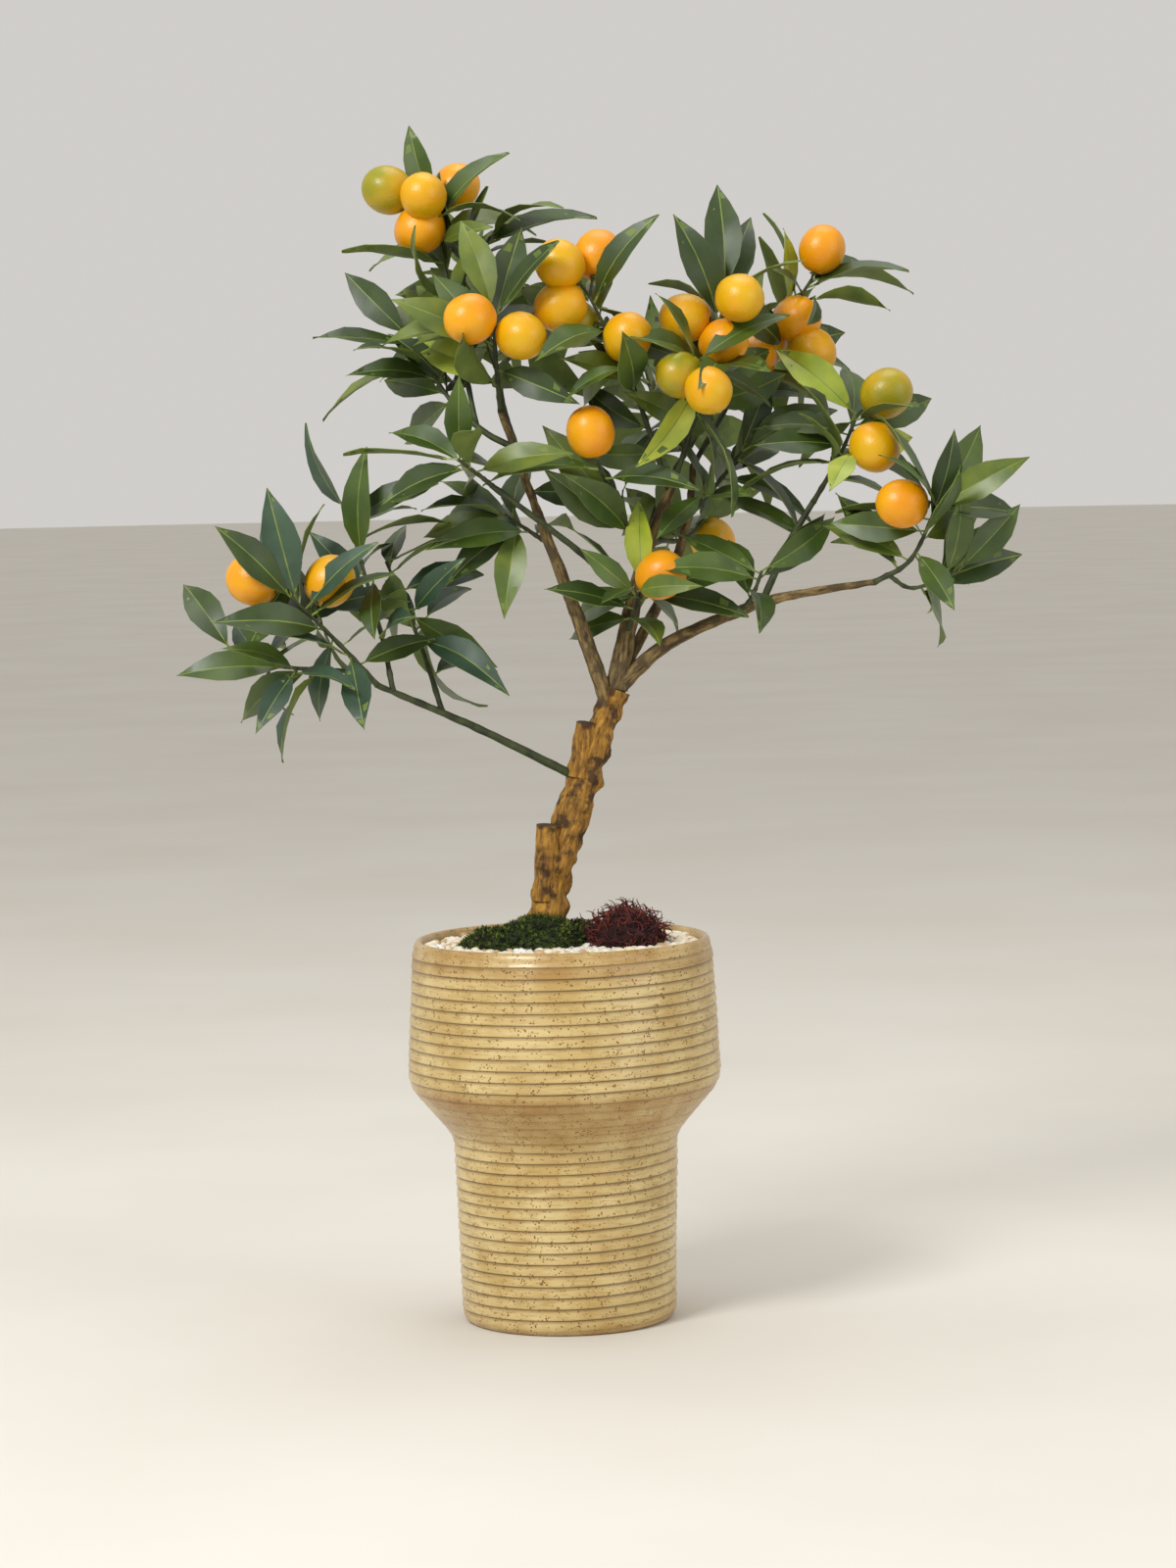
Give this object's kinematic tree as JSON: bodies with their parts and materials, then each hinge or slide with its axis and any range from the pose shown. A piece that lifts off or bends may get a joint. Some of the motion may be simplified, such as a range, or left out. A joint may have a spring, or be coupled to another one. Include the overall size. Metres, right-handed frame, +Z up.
{
  "type": "potted kumquat tree",
  "caption": "Small kumquat tree with a pruned leaning trunk and a spreading crown of leaves and oval fruit, in a tall ribbed stoneware pot.",
  "frame": {"origin": "centre of the pot's flat underside", "axes": "+Z up along the pot's axis, +X to the right and -Y to the front as the tree is seen in the picture"},
  "size_m": [0.5342, 0.2804, 0.7585],
  "materials": {
    "stoneware": "glossy speckled glaze",
    "soil": "matte",
    "green_moss": "matte",
    "red_moss": "matte",
    "bark": "rough bark",
    "foliage": "waxy leaf",
    "fruit": "dimpled rind",
    "pebbles": "matte stone"
  },
  "bodies": {
    "root": {"bough_back_left": "bark", "bough_back_right": "bark", "bough_cross": "bark", "bough_leader": "bark", "bough_left": "bark", "bough_low_left": "bark", "bough_right": "bark", "bough_second": "bark", "bough_upper_left": "bark", "bough_upright": "bark", "foliage_back_left": "foliage", "foliage_back_low": "foliage", "foliage_back_right": "foliage", "foliage_fork": "foliage", "foliage_leader_top": "foliage", "foliage_left_crown": "foliage", "foliage_left_low": "foliage", "foliage_left_mid": "foliage", "foliage_left_outer": "foliage", "foliage_left_top": "foliage", "foliage_low_left_inner": "foliage", "foliage_low_left_rise": "foliage", "foliage_low_left_tip": "foliage", "foliage_mid_top": "foliage", "foliage_right_end": "foliage", "foliage_right_low": "foliage", "foliage_right_rise": "foliage", "foliage_right_top": "foliage", "foliage_second": "foliage", "foliage_single": "foliage", "moss_green": "green_moss", "moss_red": "red_moss", "pot": "stoneware", "soil": "soil", "trunk": "bark"}
  },
  "joints": []
}
